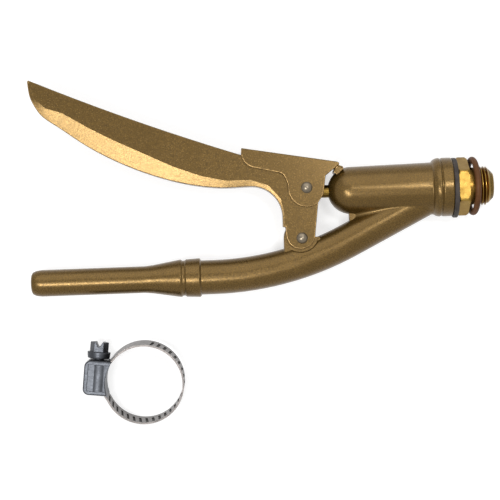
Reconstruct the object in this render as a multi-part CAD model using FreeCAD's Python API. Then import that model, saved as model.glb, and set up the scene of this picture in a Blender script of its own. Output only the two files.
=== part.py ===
"""Squeeze-lever hose nozzle with its worm-drive hose clamp.

Millimetres. +X runs along the valve chamber and out of the threaded outlet, +Y is the side
that the lever lies on, and Z = 0 is the plane that the nozzle is symmetrical about. The
origin is on the chamber's axis, at the outlet face of the hexagon. The nozzle and the clamp
lie on one surface, under the collar washer and the clamp's band.
"""

import FreeCAD, Part
import math
import os

V = FreeCAD.Vector
X_AXIS = V(1, 0, 0)
Y_AXIS = V(0, 1, 0)
Z_AXIS = V(0, 0, 1)

# Fits
RUNNING = 0.05            # radial clearance of a pin or rod that moves
LOOSE = 0.3               # gap between curved faces that must not touch
FAR = 60.0                # beyond any piece, for tools that cut right through

# Valve chamber of the casting, along X
DOME_X = -50.2            # centre of the closed, hemispherical end
DOME_R = 10.2
CHAMBER_END_R = 10.85     # the chamber widens slightly towards the collar
COLLAR_X = -15.6          # where the collar's rounded step starts
COLLAR_R = 12.66
COLLAR_FACE_X = -6.7
GROOVE_X = -11.6          # fine turned groove round the collar
CHAMBER_BORE_R = 8.0
CHAMBER_BORE_END_X = -48.0
THREAD_BORE_END_X = -16.0

# Stem gland inside the dome
STEM_R = 2.75
GLAND_R = 4.6
GLAND_END_X = -56.0
PACKING_RING_LENGTH = 1.8
PACKING_RINGS = 2

# Branch tube and barbed hose tail
TUBE_R = 7.4
TUBE_BORE_R = 4.6
BRANCH_ANGLE = 26.6       # between the branch and the chamber, degrees
BRANCH_CROSS_X = -9.1     # where the branch's axis would meet the chamber's
BRANCH_TOP_X = -17.0      # where the branch ends inside the chamber
BEND_R = 131.0
TAIL_Y = -35.2
TAIL_END_X = -189.3
SPIGOT_R = 5.75
SPIGOT_END_X = -140.5     # where the plain spigot ends and the first barb starts
TAIL_BORE_R = 3.5
TAIL_MOUTH_R = 3.9        # the spigot's end is rounded in from its full radius
TAIL_NOSE = 4.4           # length of that rounding
BARB_R = 8.4
BARB_STEP_X = -116.2
BARB_LENGTH = 6.4         # second barb, from the groove to the step
BARB_GROOVE_W = 1.0       # groove between the barbs, at its floor
BARB_GROOVE_DEPTH = 0.8

# Pivots of the lever
PIVOT = V(-72.2, -19.8, 0)
LINK = V(-69.5, 1.7, 0)
RIVET_R = 1.6
RIVET_HEAD_R = 2.45
RIVET_HEAD_H = 1.3
LUG_HALF = 4.5
LUG_R = 7.8
LUG_LEDGE_Y = -19.4
CROTCH_FILLET = 1.5       # cast rounding where the branch meets the chamber
CROTCH_WEB = (11.0, 6.0)  # web that closes the crotch of chamber and branch: x by y
CROTCH_WEB_T = 5.0
CROTCH_WEB_CORNER = (-51.5, -14.2)
EAR_CENTRE = V(-72.7, -18.2, 0)
EAR_R = 6.3
POCKET_R = 7.75

# Pressed lever
SHEET = 1.5
LEVER_HALF = 6.1          # from the middle plane to the outside of a side wall
CORNER_CENTRE = V(-93.5, -10.2, 0)
CORNER_R = 13.3
WEB_END_Y = -14.8         # the web stops above the casting's lug
FLANK_SLOPE = 0.2         # fall in Z for each millimetre of the flank's width
# Hand side of the grip from the corner to the nose: x, y and the width of the sloped flank
GRIP = [
    (-104.0, 2.9, 3.0),
    (-115.0, 4.0, 4.3),
    (-128.0, 7.0, 6.0),
    (-142.5, 12.2, 7.6),
    (-155.4, 18.4, 7.6),
    (-166.0, 24.9, 7.0),
    (-176.4, 32.4, 6.0),
    (-182.6, 37.3, 3.6),
    (-185.9, 42.8, 1.6),
    (-187.6, 51.0, 1.0),
]
LEVER_TIP = V(-187.3, 52.1, 0)
LEVER_TOP_MID = V(-143.5, 33.7, 0)
LEVER_TOP_END = V(-98.2, 17.1, 0)
LINK_HEAD_R = 5.6

# Bracket over the lever
BRACKET_SHEET = 1.3
BRACKET_HALF = LEVER_HALF + RUNNING + BRACKET_SHEET
ROOF_LEFT = V(-96.9, 19.6, 0)
ROOF_RIGHT = V(-55.8, 12.3, 0)
LOBE_CENTRE = V(-69.4, 1.5, 0)
LOBE_R = 8.1
# Corners of the tab that is turned down onto the dome, as x and y
TAB = [(-57.9, 8.0), (-56.4, 11.2), (-53.6, 10.2), (-53.4, 9.0), (-56.4, 6.6)]

# Outlet fitting
OUTLET_THREAD_R = 8.33    # G 3/8 major radius
INLET_THREAD_R = 8.33
OUTLET_END_X = 10.8
NECK_END_X = 4.7
THREAD_END_X = 7.9
HEX_AF = 22.0
HEX_X = -4.7
OUTLET_BORE_R = 4.2
FITTING_END_X = -15.0
SEAT_X = -16.5
SEAT_R = 5.3
THREAD_LEAD = 0.8         # chamfer at the start of the inlet thread
NECK_R = OUTLET_THREAD_R - 0.3
OUTLET_TIP_R = 5.43       # where the end chamfer of the outlet thread stops
HEX_CHAMFER_X = -2.0      # the corners are turned off from here to the outlet face
MOUTH_CHAMFER = 1.0

# Washer between the collar and the hexagon
WASHER_R = 12.9
WASHER_INNER_R = 8.85
WASHER_DROP = 0.45

# Valve stem and the pieces on it
EYE_R = 4.3
EYE_DROP = 0.3            # the eye's centre lies below the link rivet
EYE_SIDE_GAP = 0.2
SLOT_UP = 0.25            # the rivet's rise and fall in the eye over its travel
SLOT_DOWN = 0.45
STUD_PAST_SEAT = 4.6
DISC_WASHER_R = 3.4
DISC_WASHER_T = 0.8
NUT_H = 2.4
DISC_LENGTH = 2.5
DISC_R = 6.2
HOLDER_R = 7.0
HOLDER_BACK_X = -24.0
HOLDER_SLEEVE_X = -39.4
STUD_R = 1.5
NUT_AF = 5.5
FOLLOWER_X = -46.4
SPRING_WIRE_R = 0.65
SPRING_MEAN_R = 5.3
SPRING_TURNS = 6

# Rubber ring on the outlet
RING_R = 11.35
RING_SECTION_R = 1.3
RING_X = 2.3
RING_LEAN = 5.0

# Worm-drive clamp, made round its own axis, then turned, leant and laid down
CLAMP_CENTRE = V(-142.6, -79.75, -4.84)
CLAMP_TURN = -6.5
BAND_LEAN = 7.0           # the slack band twists, so the housing leans less than the band
HOUSING_LEAN = 1.5
BAND_R = 16.7
BAND_T = 0.7
BAND_HALF = 6.0
SADDLE_T = 0.6            # the band's tail rides over the saddle, under the worm
SADDLE_SPAN = 24.0        # degrees each side of the housing's middle
LIFTED_R = BAND_R + SADDLE_T
HOSE_ROOM_R = BAND_R + 0.25
HOUSING_LEFT = -26.0
HOUSING_RIGHT = -14.0
HOUSING_LOW = -6.7
HOUSING_HIGH = 8.2
HOUSING_WALL = 0.8
HOUSING_HALF = 7.8
HOUSING_CORNER_R = 2.6
HOUSING_EDGE_R = 0.7      # rounding of the pressed edges
HOUSING_FRAME = 1.7       # raised rim round each side's panel
PANEL_DEPTH = 0.5
RIB_X = -19.6             # rounded rib in each panel, over the worm
RIB_R = 4.9
EDGE_GAP = 0.1            # between an edge of the band and the housing's wall
SCREW_X = -20.7
SCREW_R = 2.5
SCREW_END_Y = -5.2
WORM_ROOM = 0.5           # space round the worm for its thread
SCREW_HEX_AF = 7.0
SCREW_HEAD_LOW = 8.9
SCREW_HEAD_HIGH = 15.9
FLANGE_LOW_R = 4.75
FLANGE_HIGH_R = 5.05
FLANGE_H = 2.7
SLOT_TOP_W = 2.8
SLOT_FLOOR_W = 1.0
SLOT_DEPTH = 2.0


def revolve_x(points, axis_y=0.0):
    """Solid of revolution about the line Y = axis_y. points are (x, radius)."""
    corners = [V(x, axis_y + r, 0) for x, r in points]
    face = Part.Face(Part.makePolygon(corners + corners[:1]))
    return face.revolve(V(0, axis_y, 0), X_AXIS, 360)


def rod_x(x0, x1, radius, y=0.0):
    """Cylinder along X from x0 to x1."""
    return Part.makeCylinder(radius, x1 - x0, V(x0, y, 0), X_AXIS)


def rod_y(y0, y1, radius):
    """Cylinder along Y on the clamp screw's axis."""
    return Part.makeCylinder(radius, y1 - y0, V(SCREW_X, y0, 0), Y_AXIS)


def rod_z(centre, radius, half):
    """Cylinder along Z, standing evenly about Z = 0."""
    return Part.makeCylinder(radius, 2 * half, V(centre.x, centre.y, -half), Z_AXIS)


def plate(edges, half):
    """Outline in the XY plane, made into a plate that stands evenly about Z = 0."""
    face = Part.Face(Part.Wire(edges))
    face.translate(V(0, 0, -half))
    return face.extrude(V(0, 0, 2 * half))


def line(a, b):
    return Part.LineSegment(a, b).toShape()


def closed_loop(corners):
    """Straight edges from corner to corner and back to the first."""
    return [line(a, b) for a, b in zip(corners, corners[1:] + corners[:1])]


def arc(a, middle, b):
    return Part.Arc(a, middle, b).toShape()


def polar(centre, radius, degrees):
    """Point on a circle in the XY plane."""
    turn = math.radians(degrees)
    return V(centre.x + radius * math.cos(turn), centre.y + radius * math.sin(turn), 0)


def hexagon_x(across_flats, x0, x1):
    """Hexagonal bar along X with a flat towards +Z."""
    corner_r = across_flats / 2 / math.cos(math.radians(30))
    corners = []
    for i in range(7):
        turn = math.radians(60 * i)
        corners.append(V(x0, corner_r * math.cos(turn), corner_r * math.sin(turn)))
    return Part.Face(Part.makePolygon(corners)).extrude(V(x1 - x0, 0, 0))


def dome_profile(radius):
    """Half section of the chamber's outside, with the groove and the rounded collar step."""
    apex = V(DOME_X - radius, 0, 0)
    shoulder = V(DOME_X, radius, 0)
    step = V(COLLAR_X, CHAMBER_END_R, 0)
    crest = V(COLLAR_X + 3.2, COLLAR_R, 0)
    groove_half = 0.45
    groove_floor = V(GROOVE_X, COLLAR_R - 0.55, 0)
    rim = V(COLLAR_FACE_X, COLLAR_R - 0.4, 0)
    edges = [
        arc(apex, polar(V(DOME_X, 0, 0), radius, 135), shoulder),
        line(shoulder, step),
        arc(step, V(COLLAR_X + 1.25, COLLAR_R - 0.55, 0), crest),
        line(crest, V(GROOVE_X - groove_half, COLLAR_R, 0)),
        line(V(GROOVE_X - groove_half, COLLAR_R, 0), groove_floor),
        line(groove_floor, V(GROOVE_X + groove_half, COLLAR_R, 0)),
        line(V(GROOVE_X + groove_half, COLLAR_R, 0), V(COLLAR_FACE_X - 0.4, COLLAR_R, 0)),
        line(V(COLLAR_FACE_X - 0.4, COLLAR_R, 0), rim),
        line(rim, V(COLLAR_FACE_X, 0, 0)),
        line(V(COLLAR_FACE_X, 0, 0), apex),
    ]
    return Part.Face(Part.Wire(edges))


def branch_path(radius, top_x):
    """Straight branch, wide bend and straight run of one radius, down to the barbs."""
    angle = math.radians(BRANCH_ANGLE)
    along = V(math.cos(angle), math.sin(angle), 0)
    vertex = V(BRANCH_CROSS_X + TAIL_Y / math.tan(angle), TAIL_Y, 0)
    tangent = BEND_R * math.tan(angle / 2)
    bend_top = vertex + along * tangent
    bend_foot = vertex - X_AXIS * tangent
    top = bend_top + along * ((top_x - bend_top.x) / along.x)
    straight = Part.makeCylinder(radius, (top - bend_top).Length, bend_top, along)
    section = Part.Face(Part.Wire(Part.makeCircle(radius, bend_foot, X_AXIS)))
    bend = section.revolve(bend_foot + Y_AXIS * BEND_R, Z_AXIS, BRANCH_ANGLE)
    run = rod_x(BARB_STEP_X - 4, bend_foot.x, radius, TAIL_Y)
    return straight.fuse([bend, run])


def tail_outside():
    """Plain spigot with a rounded end, then two barbs."""
    rounding = SPIGOT_R - TAIL_MOUTH_R
    nose = [(TAIL_END_X, 0)]
    for degrees in (0, 30, 60, 90):
        turn = math.radians(degrees)
        x = TAIL_END_X + TAIL_NOSE * (1 - math.cos(turn))
        nose.append((x, TAIL_MOUTH_R + rounding * math.sin(turn)))
    slope = 0.5
    groove_end = BARB_STEP_X - BARB_LENGTH
    groove_r = BARB_R - BARB_GROOVE_DEPTH
    profile = nose + [
        (SPIGOT_END_X, SPIGOT_R),
        (SPIGOT_END_X + 7 * slope, SPIGOT_R + slope * 0.7),
        (groove_end - 2 * slope - BARB_GROOVE_W - 0.2, BARB_R - slope / 2),
        (groove_end - slope - BARB_GROOVE_W, groove_r),
        (groove_end - slope, groove_r),
        (groove_end, groove_r + slope),
        (BARB_STEP_X - slope, BARB_R),
        (BARB_STEP_X, BARB_R - slope),
        (BARB_STEP_X, 0),
    ]
    return revolve_x(profile, TAIL_Y)


def pivot_lug():
    """Thick tongue on top of the branch that the lever's ears straddle."""
    tongue = rod_z(PIVOT, LUG_R, LUG_HALF)
    over_ledge = Part.makeBox(FAR, FAR, 2 * FAR, V(PIVOT.x + 5, LUG_LEDGE_Y, -FAR))
    foot_low = V(PIVOT.x - LUG_R, PIVOT.y - LUG_R, -LUG_HALF)
    foot = Part.makeBox(2 * LUG_R, LUG_R, 2 * LUG_HALF, foot_low)
    return tongue.cut(over_ledge).fuse(foot)


def chamber_and_branch():
    """Chamber and branch tube, with the crease where they meet filled by a cast rounding."""
    chamber = dome_profile(DOME_R).revolve(V(0, 0, 0), X_AXIS, 360)
    joined = chamber.fuse(branch_path(TUBE_R, BRANCH_TOP_X)).removeSplitter()
    crease = []
    for edge in joined.Edges:
        if not edge.Degenerated and edge.Curve.TypeId == "Part::GeomBSplineCurve":
            crease.append(edge)
    return joined.makeFillet(CROTCH_FILLET, crease)


def body_casting():
    web_w, web_h = CROTCH_WEB
    web = Part.makeBox(web_w, web_h, CROTCH_WEB_T, V(*CROTCH_WEB_CORNER, -CROTCH_WEB_T / 2))
    outside = chamber_and_branch().fuse([tail_outside(), pivot_lug(), web])
    for side in (-1, 1):
        floor = V(EAR_CENTRE.x, EAR_CENTRE.y, side * LUG_HALF)
        outside = outside.cut(Part.makeCylinder(POCKET_R, FAR, floor, Z_AXIS * side))
    waterway = branch_path(TUBE_BORE_R, BRANCH_TOP_X)
    beyond = V(THREAD_BORE_END_X - 0.5, -FAR / 2, -FAR / 2)
    waterway = waterway.cut(Part.makeBox(FAR, FAR, FAR, beyond))
    cone_x = BARB_STEP_X - 4
    tail_bore = revolve_x([
        (TAIL_END_X - 1, 0),
        (TAIL_END_X - 1, TAIL_BORE_R),
        (SPIGOT_END_X, TAIL_BORE_R),
        (cone_x, TUBE_BORE_R),
        (cone_x + 1, TUBE_BORE_R),
        (cone_x + 1, 0),
    ], TAIL_Y)
    chamber = revolve_x([
        (DOME_X - DOME_R - 1, 0),
        (DOME_X - DOME_R - 1, STEM_R + RUNNING),
        (GLAND_END_X, STEM_R + RUNNING),
        (GLAND_END_X, GLAND_R),
        (CHAMBER_BORE_END_X, GLAND_R),
        (CHAMBER_BORE_END_X, CHAMBER_BORE_R),
        (THREAD_BORE_END_X, CHAMBER_BORE_R),
        (THREAD_BORE_END_X, INLET_THREAD_R + RUNNING),
        (COLLAR_FACE_X + 1, INLET_THREAD_R + RUNNING),
        (COLLAR_FACE_X + 1, 0),
    ])
    pivot_hole = rod_z(PIVOT, RIVET_R + RUNNING, LUG_HALF + 1)
    return outside.cut([waterway, tail_bore, chamber, pivot_hole]).removeSplitter()


def outlet_fitting():
    """Brass hexagon with a thread at each end and the valve seat at its inner end."""
    turned = revolve_x([
        (FITTING_END_X, 0),
        (FITTING_END_X, INLET_THREAD_R - THREAD_LEAD),
        (FITTING_END_X + THREAD_LEAD, INLET_THREAD_R),
        (HEX_X + 0.5, INLET_THREAD_R),
        (HEX_X + 0.5, NECK_R),
        (NECK_END_X, NECK_R),
        (NECK_END_X, OUTLET_THREAD_R),
        (THREAD_END_X, OUTLET_THREAD_R),
        (OUTLET_END_X, OUTLET_TIP_R),
        (OUTLET_END_X, 0),
    ])
    hexagon = hexagon_x(HEX_AF, HEX_X, 0)
    corner_r = HEX_AF / 2 / math.cos(math.radians(30))
    corners_off = revolve_x([
        (HEX_X, 0),
        (HEX_X, corner_r - 0.6),
        (HEX_X + 0.5, corner_r),
        (HEX_CHAMFER_X, corner_r),
        (0, HEX_AF / 2 + 0.1),
        (0, 0),
    ])
    seat = revolve_x([
        (SEAT_X, 0),
        (SEAT_X, SEAT_R - 0.5),
        (FITTING_END_X, SEAT_R + 0.4),
        (FITTING_END_X, 0),
    ])
    bore = revolve_x([
        (SEAT_X - 1, 0),
        (SEAT_X - 1, OUTLET_BORE_R),
        (OUTLET_END_X - 0.6 * MOUTH_CHAMFER, OUTLET_BORE_R),
        (OUTLET_END_X + 0.4 * MOUTH_CHAMFER, OUTLET_BORE_R + MOUTH_CHAMFER),
        (OUTLET_END_X + 0.4 * MOUTH_CHAMFER, 0),
    ])
    return turned.fuse([hexagon.common(corners_off), seat]).cut(bore).removeSplitter()


def collar_washer():
    """Flat sealing washer that has settled slightly off centre."""
    edge = 0.3
    ring = revolve_x([
        (COLLAR_FACE_X, WASHER_INNER_R),
        (COLLAR_FACE_X, WASHER_R - edge),
        (COLLAR_FACE_X + edge, WASHER_R),
        (HEX_X - edge, WASHER_R),
        (HEX_X, WASHER_R - edge),
        (HEX_X, WASHER_INNER_R),
    ])
    ring.translate(V(0, -WASHER_DROP, 0))
    return ring


def outlet_o_ring():
    """Rubber ring hung round the neck, leaning with its upper side away from the hexagon."""
    ring = Part.makeTorus(RING_R, RING_SECTION_R, V(RING_X, 0, 0), X_AXIS)
    ring.rotate(V(RING_X, 0, 0), Y_AXIS, RING_LEAN)
    return ring


def valve_stem():
    """Brass rod with a slotted eye for the link rivet and a thin stud for the valve disc."""
    eye_half = LEVER_HALF - SHEET - EYE_SIDE_GAP
    slot_low = LINK - Y_AXIS * SLOT_DOWN
    slot_high = LINK + Y_AXIS * SLOT_UP
    rod = rod_x(LINK.x, HOLDER_BACK_X, STEM_R)
    stud = rod_x(HOLDER_BACK_X, SEAT_X + STUD_PAST_SEAT, STUD_R)
    eye = rod_z(LINK - Y_AXIS * EYE_DROP, EYE_R, eye_half)
    slot_r = RIVET_R + RUNNING
    slot = rod_z(slot_low, slot_r, eye_half + 1).fuse(rod_z(slot_high, slot_r, eye_half + 1))
    middle_low = V(LINK.x - slot_r, slot_low.y, -eye_half - 1)
    middle = Part.makeBox(2 * slot_r, slot_high.y - slot_low.y, 2 * eye_half + 2, middle_low)
    return rod.fuse([stud, eye]).cut(slot.fuse(middle)).removeSplitter()


def disc_holder():
    """Cup that backs the rubber disc; its sleeve meets the follower at full lift."""
    stud_hole = STUD_R + RUNNING
    return revolve_x([
        (HOLDER_SLEEVE_X, STEM_R + RUNNING),
        (HOLDER_SLEEVE_X, STEM_R + 1.0),
        (HOLDER_BACK_X, STEM_R + 1.0),
        (HOLDER_BACK_X, HOLDER_R),
        (SEAT_X - 0.8, HOLDER_R),
        (SEAT_X - 0.8, DISC_R + RUNNING),
        (SEAT_X - DISC_LENGTH, DISC_R + RUNNING),
        (SEAT_X - DISC_LENGTH, stud_hole),
        (HOLDER_BACK_X, stud_hole),
        (HOLDER_BACK_X, STEM_R + RUNNING),
    ])


def seat_disc():
    """Rubber disc that closes the seat."""
    return revolve_x([
        (SEAT_X - DISC_LENGTH, STUD_R + RUNNING),
        (SEAT_X - DISC_LENGTH, DISC_R),
        (SEAT_X, DISC_R),
        (SEAT_X, STUD_R + RUNNING),
    ])


def disc_washer():
    return revolve_x([
        (SEAT_X, STUD_R + RUNNING),
        (SEAT_X, DISC_WASHER_R),
        (SEAT_X + DISC_WASHER_T, DISC_WASHER_R),
        (SEAT_X + DISC_WASHER_T, STUD_R + RUNNING),
    ])


def lock_nut():
    start = SEAT_X + DISC_WASHER_T
    nut = hexagon_x(NUT_AF, start, start + NUT_H)
    return nut.cut(rod_x(start - 1, start + NUT_H + 1, STUD_R + RUNNING))


def packing_follower():
    """Top hat that holds the packing and carries the spring."""
    packing_end = GLAND_END_X + PACKING_RINGS * PACKING_RING_LENGTH
    hole = STEM_R + RUNNING
    return revolve_x([
        (packing_end, hole),
        (packing_end, GLAND_R - RUNNING),
        (CHAMBER_BORE_END_X, GLAND_R - RUNNING),
        (CHAMBER_BORE_END_X, CHAMBER_BORE_R - 0.3),
        (FOLLOWER_X, CHAMBER_BORE_R - 0.3),
        (FOLLOWER_X, hole),
    ])


def stem_packing():
    """Sealing rings stacked round the stem."""
    rings = []
    for i in range(PACKING_RINGS):
        start = GLAND_END_X + i * PACKING_RING_LENGTH
        end = start + PACKING_RING_LENGTH
        ring = rod_x(start, end, GLAND_R - RUNNING)
        rings.append(ring.cut(rod_x(start - 1, end + 1, STEM_R + RUNNING)))
    return Part.makeCompound(rings)


def return_spring():
    """Open coil between the follower and the back of the disc holder."""
    length = HOLDER_BACK_X - FOLLOWER_X - 2 * SPRING_WIRE_R
    helix = Part.makeHelix(length / SPRING_TURNS, length, SPRING_MEAN_R)
    start = V(SPRING_MEAN_R, 0, 0)
    section = Part.Wire(Part.makeCircle(SPRING_WIRE_R, start, Y_AXIS))
    coil = Part.Wire(helix.Edges).makePipeShell([section], True, True)
    coil.rotate(V(0, 0, 0), Y_AXIS, 90)
    coil.translate(V(FOLLOWER_X + SPRING_WIRE_R, 0, 0))
    return coil


def hand_side(offset):
    """Hand side of the lever, moved inwards by offset, from the leg up and out to the nose.

    Returns its edges and, for each station, the point, inward normal and flank width.
    """
    turn_r = CORNER_R + offset
    leg_foot = V(CORNER_CENTRE.x + turn_r, WEB_END_Y, 0)
    stations = [(V(CORNER_CENTRE.x + CORNER_R, WEB_END_Y - 1, 0), X_AXIS, 0.9)]
    for degrees, width in ((0, 0.9), (30, 1.5), (60, 2.2), (90, 2.8)):
        out = polar(V(0, 0, 0), 1, degrees)
        stations.append((CORNER_CENTRE + out * CORNER_R, out, width))
    curve = Part.BSplineCurve()
    corner_end = CORNER_CENTRE + Y_AXIS * CORNER_R
    points = [corner_end] + [V(x, y, 0) for x, y, width in GRIP]
    curve.interpolate(points, InitialTangent=V(-1, 0, 0), FinalTangent=V(-0.1, 1, 0))
    moved = [corner_end + Y_AXIS * offset]
    for x, y, width in GRIP:
        tangent = curve.tangent(curve.parameter(V(x, y, 0)))[0]
        inward = V(tangent.y, -tangent.x, 0)
        stations.append((V(x, y, 0), inward, width))
        moved.append(V(x, y, 0) + inward * offset)
    moved_curve = Part.BSplineCurve()
    moved_curve.interpolate(moved, InitialTangent=V(-1, 0, 0), FinalTangent=V(-0.1, 1, 0))
    edges = [
        line(leg_foot, polar(CORNER_CENTRE, turn_r, 0)),
        arc(polar(CORNER_CENTRE, turn_r, 0), polar(CORNER_CENTRE, turn_r, 45), moved[0]),
        moved_curve.toShape(),
    ]
    return edges, stations, leg_foot, moved[-1]


def flank_cutter(stations, side, inset):
    """Solid outside the sloped flank, or outside its inner face when inset is the sheet."""
    sections = []
    for point, inward, width in stations:
        fall = FLANK_SLOPE * width
        slant = math.hypot(width, fall)
        reach = 1.2 + 1.6 * inset
        shift_in = fall * inset / slant
        shift_z = width * inset / slant
        run_in = width / slant * reach
        run_z = fall / slant * reach
        upper = point + inward * (width + shift_in + run_in)
        lower = point + inward * (shift_in - run_in)
        upper_z = LEVER_HALF - shift_z + run_z
        lower_z = LEVER_HALF - fall - shift_z - run_z
        corners = [
            V(upper.x, upper.y, side * upper_z),
            V(lower.x, lower.y, side * lower_z),
            V(lower.x, lower.y, side * upper_z),
        ]
        sections.append(Part.makePolygon(corners + corners[:1]))
    return Part.makeLoft(sections, True, True)


def lever():
    """Pressed channel: side walls, sloped flanks, and a web round its hand side."""
    outer_edges, stations, leg_foot, nose = hand_side(0)
    ear_left = V(EAR_CENTRE.x - EAR_R, leg_foot.y, 0)
    ear_side = V(EAR_CENTRE.x - EAR_R, EAR_CENTRE.y, 0)
    ear_foot = polar(EAR_CENTRE, EAR_R, 270)
    ear_right = polar(EAR_CENTRE, EAR_R, 0)
    head_right = polar(LINK, LINK_HEAD_R, 0)
    head_top = polar(LINK, LINK_HEAD_R, 70)
    outline = outer_edges + [
        line(nose, LEVER_TIP),
        arc(LEVER_TIP, LEVER_TOP_MID, LEVER_TOP_END),
        line(LEVER_TOP_END, head_top),
        arc(head_top, polar(LINK, LINK_HEAD_R, 35), head_right),
        line(head_right, ear_right),
        arc(ear_right, ear_foot, ear_side),
        line(ear_side, ear_left),
        line(ear_left, leg_foot),
    ]
    outside = plate(outline, LEVER_HALF)
    inner_edges, inner_stations, inner_foot, inner_nose = hand_side(SHEET)
    right = LINK.x + FAR
    back = CORNER_CENTRE.x
    far = [V(inner_nose.x, FAR, 0), V(right, FAR, 0), V(right, -FAR, 0), V(back, -FAR, 0)]
    far.append(V(back, inner_foot.y, 0))
    room = inner_edges + [line(inner_nose, far[0])]
    room += [line(a, b) for a, b in zip(far, far[1:])]
    room.append(line(far[-1], inner_foot))
    inside = plate(room, LEVER_HALF - SHEET)
    for side in (-1, 1):
        outside = outside.cut(flank_cutter(stations, side, 0))
        inside = inside.cut(flank_cutter(stations, side, SHEET))
    holes = [rod_z(at, RIVET_R + RUNNING, FAR) for at in (PIVOT, LINK)]
    return outside.cut(inside).cut(holes)


def bracket_outline():
    """Side of the bracket: roof line, right end, lobe round the link rivet, left tail."""
    lip = V(-55.0, 11.4, 0)
    notch = V(-61.2, 6.6, 0)
    flat_foot = V(-62.4, -1.4, 0)
    lobe_right = polar(LOBE_CENTRE, LOBE_R, 302)
    lobe_low = polar(LOBE_CENTRE, LOBE_R, 265)
    lobe_left = polar(LOBE_CENTRE, LOBE_R, 182)
    waist = V(-78.6, 6.2, 0)
    shoulder = V(-81.0, 8.4, 0)
    belly = V(-91.4, 10.9, 0)
    tail_low = V(-95.6, 13.3, 0)
    tail = V(-97.1, 17.0, 0)
    sweep = Part.BSplineCurve()
    sweep.interpolate([lobe_left, waist, shoulder], InitialTangent=Y_AXIS, FinalTangent=V(-3, 0.6, 0))
    return [
        line(ROOF_LEFT, ROOF_RIGHT),
        line(ROOF_RIGHT, lip),
        line(lip, notch),
        line(notch, flat_foot),
        line(flat_foot, lobe_right),
        arc(lobe_right, lobe_low, lobe_left),
        sweep.toShape(),
        line(shoulder, belly),
        arc(belly, tail_low, tail),
        line(tail, ROOF_LEFT),
    ]


def lever_bracket():
    """Thin yoke over the lever's walls, with a turned-down tab that rests on the dome."""
    outside = plate(bracket_outline(), BRACKET_HALF)
    inner_half = BRACKET_HALF - BRACKET_SHEET
    roof_fall = math.atan2(ROOF_LEFT.y - ROOF_RIGHT.y, ROOF_RIGHT.x - ROOF_LEFT.x)
    room = Part.makeBox(FAR, FAR, 2 * inner_half)
    room.translate(V(-FAR / 2, -FAR - BRACKET_SHEET, -inner_half))
    room.rotate(V(0, 0, 0), Z_AXIS, -math.degrees(roof_fall))
    room.translate((ROOF_LEFT + ROOF_RIGHT) / 2)
    tab = plate(closed_loop([V(x, y, 0) for x, y in TAB]), inner_half)
    dome = Part.makeSphere(DOME_R + LOOSE, V(DOME_X, 0, 0))
    barrel = rod_x(DOME_X, DOME_X + DOME_R, DOME_R + LOOSE)
    yoke = outside.cut(room).fuse(tab).cut([dome, barrel])
    return yoke.cut(rod_z(LINK, RIVET_R + RUNNING, FAR)).removeSplitter()


def rivet(centre, grip_half):
    """Solid rivet along Z with a domed head at each end."""
    body = rod_z(centre, RIVET_R, grip_half)
    ball_r = (RIVET_HEAD_R ** 2 + RIVET_HEAD_H ** 2) / (2 * RIVET_HEAD_H)
    heads = []
    for side in (-1, 1):
        ball_z = side * (grip_half + RIVET_HEAD_H - ball_r)
        ball = Part.makeSphere(ball_r, V(centre.x, centre.y, ball_z))
        seat = V(centre.x, centre.y, side * grip_half)
        cap = Part.makeCylinder(RIVET_HEAD_R, RIVET_HEAD_H, seat, Z_AXIS * side)
        heads.append(ball.common(cap))
    return body.fuse(heads).removeSplitter()


def lay_clamp(shape, lean):
    """Move a clamp piece from the clamp's own axis to where the clamp lies."""
    shape.rotate(V(0, 0, 0), Z_AXIS, CLAMP_TURN)
    shape.rotate(V(0, 0, 0), X_AXIS, lean)
    shape.translate(CLAMP_CENTRE)
    return shape


def clamp_ring(inner_r, outer_r, half):
    ring = rod_z(V(0, 0, 0), outer_r, half)
    return ring.cut(rod_z(V(0, 0, 0), inner_r, half + 1))


def housing_sector(span, radius):
    """Wedge from the clamp's axis that covers the housing's side of the band."""
    corners = [V(0, 0, 0), polar(V(0, 0, 0), radius, 180 - span), polar(V(0, 0, 0), radius, 180 + span)]
    wedge = Part.Face(Part.makePolygon(corners + corners[:1]))
    wedge.translate(V(0, 0, -2 * BAND_HALF))
    return wedge.extrude(V(0, 0, 4 * BAND_HALF))


def clamp_band():
    """Band whose tail steps up over the saddle where it passes through the housing."""
    sector = housing_sector(SADDLE_SPAN, FAR)
    ring = clamp_ring(BAND_R, BAND_R + BAND_T, BAND_HALF).cut(sector)
    lifted = clamp_ring(LIFTED_R, LIFTED_R + BAND_T, BAND_HALF).common(sector)
    return lay_clamp(ring.fuse(lifted), BAND_LEAN)


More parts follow.
